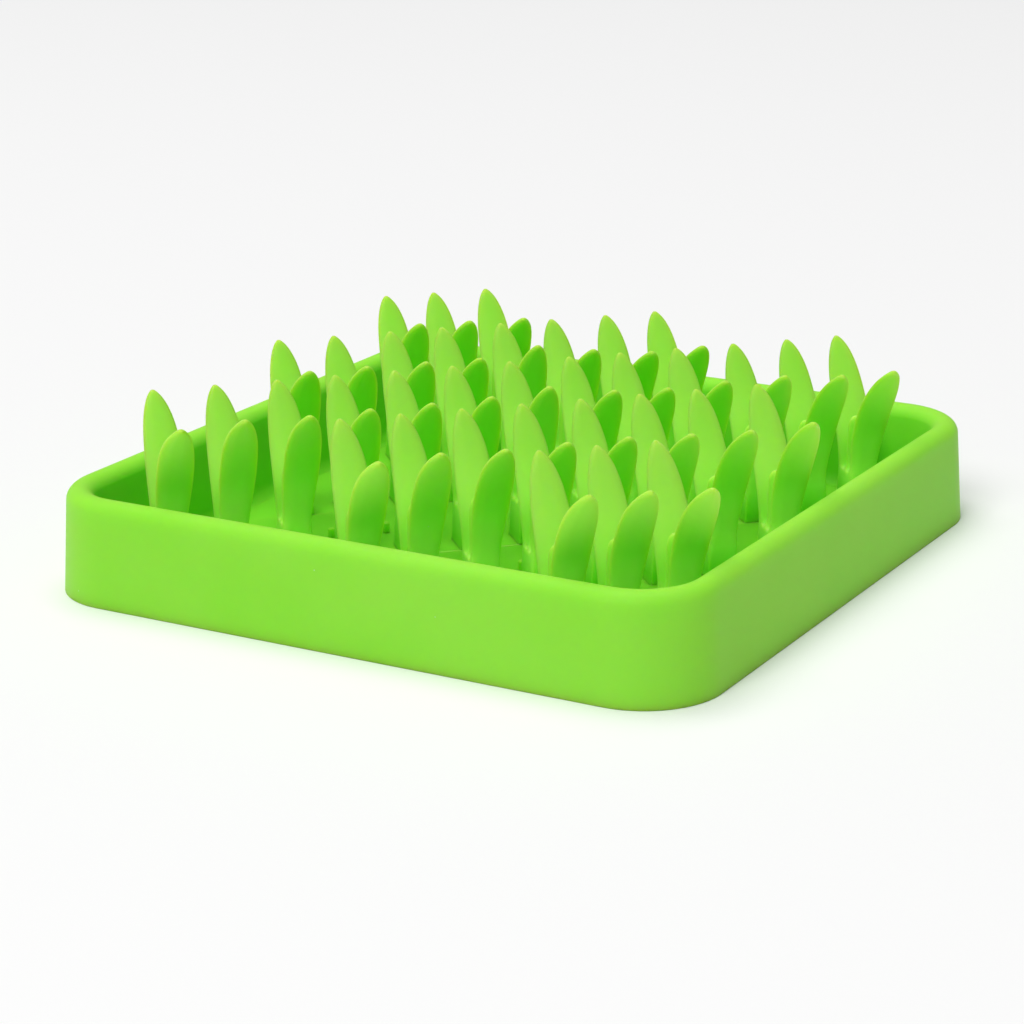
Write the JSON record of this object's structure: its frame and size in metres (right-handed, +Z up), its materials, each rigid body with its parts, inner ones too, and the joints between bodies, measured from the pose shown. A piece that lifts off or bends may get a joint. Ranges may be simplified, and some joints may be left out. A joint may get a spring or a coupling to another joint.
{
  "type": "grass feeding mat",
  "caption": "Shallow square rubber tray with rows of upright grass-blade tufts on its floor, for spreading pet food so that it is eaten slowly.",
  "frame": {"origin": "middle of the tray's flat underside, on the surface that it stands on", "axes": "+Z up; X and Y along the tray's sides; the rows of tufts run along the diagonal from the -X-Y corner to the +X+Y corner, and the front blades lean towards the +X-Y corner"},
  "size_m": [0.2, 0.2, 0.0511],
  "materials": {
    "green_rubber": "satin"
  },
  "bodies": {
    "root": {"tray": "green_rubber", "tuft_a01": "green_rubber", "tuft_a02": "green_rubber", "tuft_a03": "green_rubber", "tuft_b01": "green_rubber", "tuft_b02": "green_rubber", "tuft_b03": "green_rubber", "tuft_b04": "green_rubber", "tuft_b05": "green_rubber", "tuft_b06": "green_rubber", "tuft_b07": "green_rubber", "tuft_b08": "green_rubber", "tuft_c01": "green_rubber", "tuft_c02": "green_rubber", "tuft_c03": "green_rubber", "tuft_c04": "green_rubber", "tuft_c05": "green_rubber", "tuft_c06": "green_rubber", "tuft_c07": "green_rubber", "tuft_c08": "green_rubber", "tuft_c09": "green_rubber", "tuft_c10": "green_rubber", "tuft_c11": "green_rubber", "tuft_c12": "green_rubber", "tuft_c13": "green_rubber", "tuft_d01": "green_rubber", "tuft_d02": "green_rubber", "tuft_d03": "green_rubber", "tuft_d04": "green_rubber", "tuft_d05": "green_rubber", "tuft_d06": "green_rubber", "tuft_d07": "green_rubber", "tuft_d08": "green_rubber", "tuft_e01": "green_rubber", "tuft_e02": "green_rubber", "tuft_e03": "green_rubber"}
  },
  "joints": []
}
